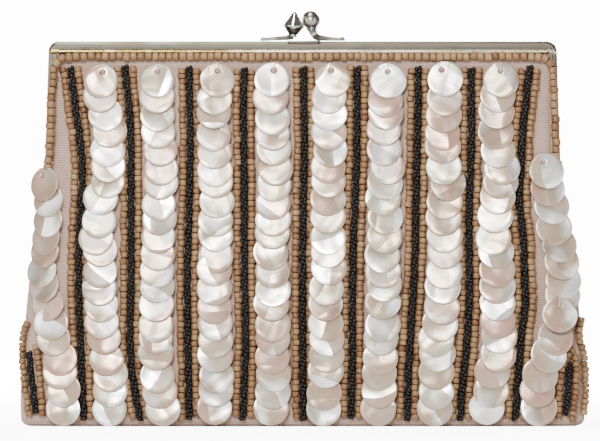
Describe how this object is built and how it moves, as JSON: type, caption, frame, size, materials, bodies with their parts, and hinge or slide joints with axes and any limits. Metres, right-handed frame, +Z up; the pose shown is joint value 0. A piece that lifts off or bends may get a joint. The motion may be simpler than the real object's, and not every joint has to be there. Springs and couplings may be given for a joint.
{
  "type": "beaded clutch",
  "caption": "Beaded evening clutch with a nickel kiss-lock frame, columns of shell discs between tan and black bead strips, and a hinged mouth that opens front and back.",
  "frame": {"origin": "under the middle of the clutch, on the plane its flat bottom rests on", "axes": "+X along the frame to the right as the front is seen, +Y from the front to the back, +Z up from the bottom to the clasp"},
  "size_m": [0.2372, 0.0372, 0.1749],
  "materials": {
    "nickel": "polished nickel plate on steel, faintly worn",
    "blush_cloth": "pale pink ribbed silk cloth",
    "lining_cloth": "plain satin lining",
    "paper_cord": "twisted paper cord",
    "shell": "mother-of-pearl, polished, with a pink and green sheen",
    "tan_beads": "drum beads of satin wood",
    "black_beads": "glossy black glass seed beads",
    "thread": "pink sewing thread"
  },
  "bodies": {
    "pouch": {"pouch_cloth": "blush_cloth", "pouch_lining": "lining_cloth", "hinge_rivet_left": "nickel", "hinge_rivet_right": "nickel", "shell_column_lower_1": "shell", "shell_column_lower_2": "shell", "shell_column_lower_3": "shell", "shell_column_lower_4": "shell", "shell_column_lower_5": "shell", "shell_column_lower_6": "shell", "shell_column_lower_7": "shell", "shell_column_lower_8": "shell", "shell_column_side_left": "shell", "shell_column_side_right": "shell", "bead_strip_lower_1": "tan_beads", "bead_strip_lower_2": "tan_beads", "bead_strip_lower_3": "tan_beads", "bead_strip_lower_4": "tan_beads", "bead_strip_lower_5": "tan_beads", "bead_strip_lower_6": "tan_beads", "bead_strip_lower_7": "tan_beads", "bead_strip_lower_8": "tan_beads", "bead_strip_lower_9": "tan_beads", "corner_strip_left": "tan_beads", "corner_strip_right": "tan_beads", "back_beadwork_lower": "tan_beads"},
    "front_half": {"front_frame": "nickel", "front_frame_cord": "paper_cord", "front_cloth_upper": "blush_cloth", "front_lining_upper": "lining_cloth", "front_border": "tan_beads", "front_clasp_rivet": "nickel", "shell_column_upper_1": "shell", "shell_column_upper_2": "shell", "shell_column_upper_3": "shell", "shell_column_upper_4": "shell", "shell_column_upper_5": "shell", "shell_column_upper_6": "shell", "shell_column_upper_7": "shell", "shell_column_upper_8": "shell", "bead_strip_upper_1": "tan_beads", "bead_strip_upper_2": "tan_beads", "bead_strip_upper_3": "tan_beads", "bead_strip_upper_4": "tan_beads", "bead_strip_upper_5": "tan_beads", "bead_strip_upper_6": "tan_beads", "bead_strip_upper_7": "tan_beads", "bead_strip_upper_8": "tan_beads", "bead_strip_upper_9": "tan_beads"},
    "back_half": {"back_frame": "nickel", "back_frame_cord": "paper_cord", "back_cloth_upper": "blush_cloth", "back_lining_upper": "lining_cloth", "back_border": "tan_beads", "back_clasp_rivet": "nickel", "back_beadwork_upper": "tan_beads"},
    "front_clasp": {"front_clasp_arm": "nickel", "front_clasp_ball": "nickel"},
    "back_clasp": {"back_clasp_arm": "nickel", "back_clasp_cone": "nickel"}
  },
  "joints": [
    {"name": "front_frame_hinge", "type": "hinge", "parent": "pouch", "child": "front_half", "pos_m": [0, 0, 0.11], "axis": [1, 0, 0], "range_deg": [0, 35], "deforming": ["shell_column_lower_1", "shell_column_lower_2", "shell_column_lower_3", "shell_column_lower_4", "shell_column_lower_5", "shell_column_lower_6", "shell_column_lower_7", "shell_column_lower_8", "shell_column_side_left", "shell_column_side_right", "bead_strip_lower_1", "bead_strip_lower_2", "bead_strip_lower_3", "bead_strip_lower_4", "bead_strip_lower_5", "bead_strip_lower_6", "bead_strip_lower_7", "bead_strip_lower_8", "bead_strip_lower_9"]},
    {"name": "back_frame_hinge", "type": "hinge", "parent": "pouch", "child": "back_half", "pos_m": [0, 0, 0.11], "axis": [1, 0, 0], "range_deg": [-35, 0], "deforming": ["back_beadwork_lower"]},
    {"name": "front_clasp_flex", "type": "hinge", "parent": "front_half", "child": "front_clasp", "pos_m": [0.016, -0.0027, 0.1633], "axis": [0, 1, 0], "range_deg": [0, 5], "stiffness_Nm_per_rad": 0.3},
    {"name": "back_clasp_flex", "type": "hinge", "parent": "back_half", "child": "back_clasp", "pos_m": [-0.016, 0.0027, 0.1633], "axis": [0, -1, 0], "range_deg": [0, 5], "stiffness_Nm_per_rad": 0.3}
  ],
  "couplings": [
    {"joint": "back_frame_hinge", "follows": "front_frame_hinge", "ratio": -1},
    {"joint": "back_clasp_flex", "follows": "front_clasp_flex", "ratio": 1}
  ]
}
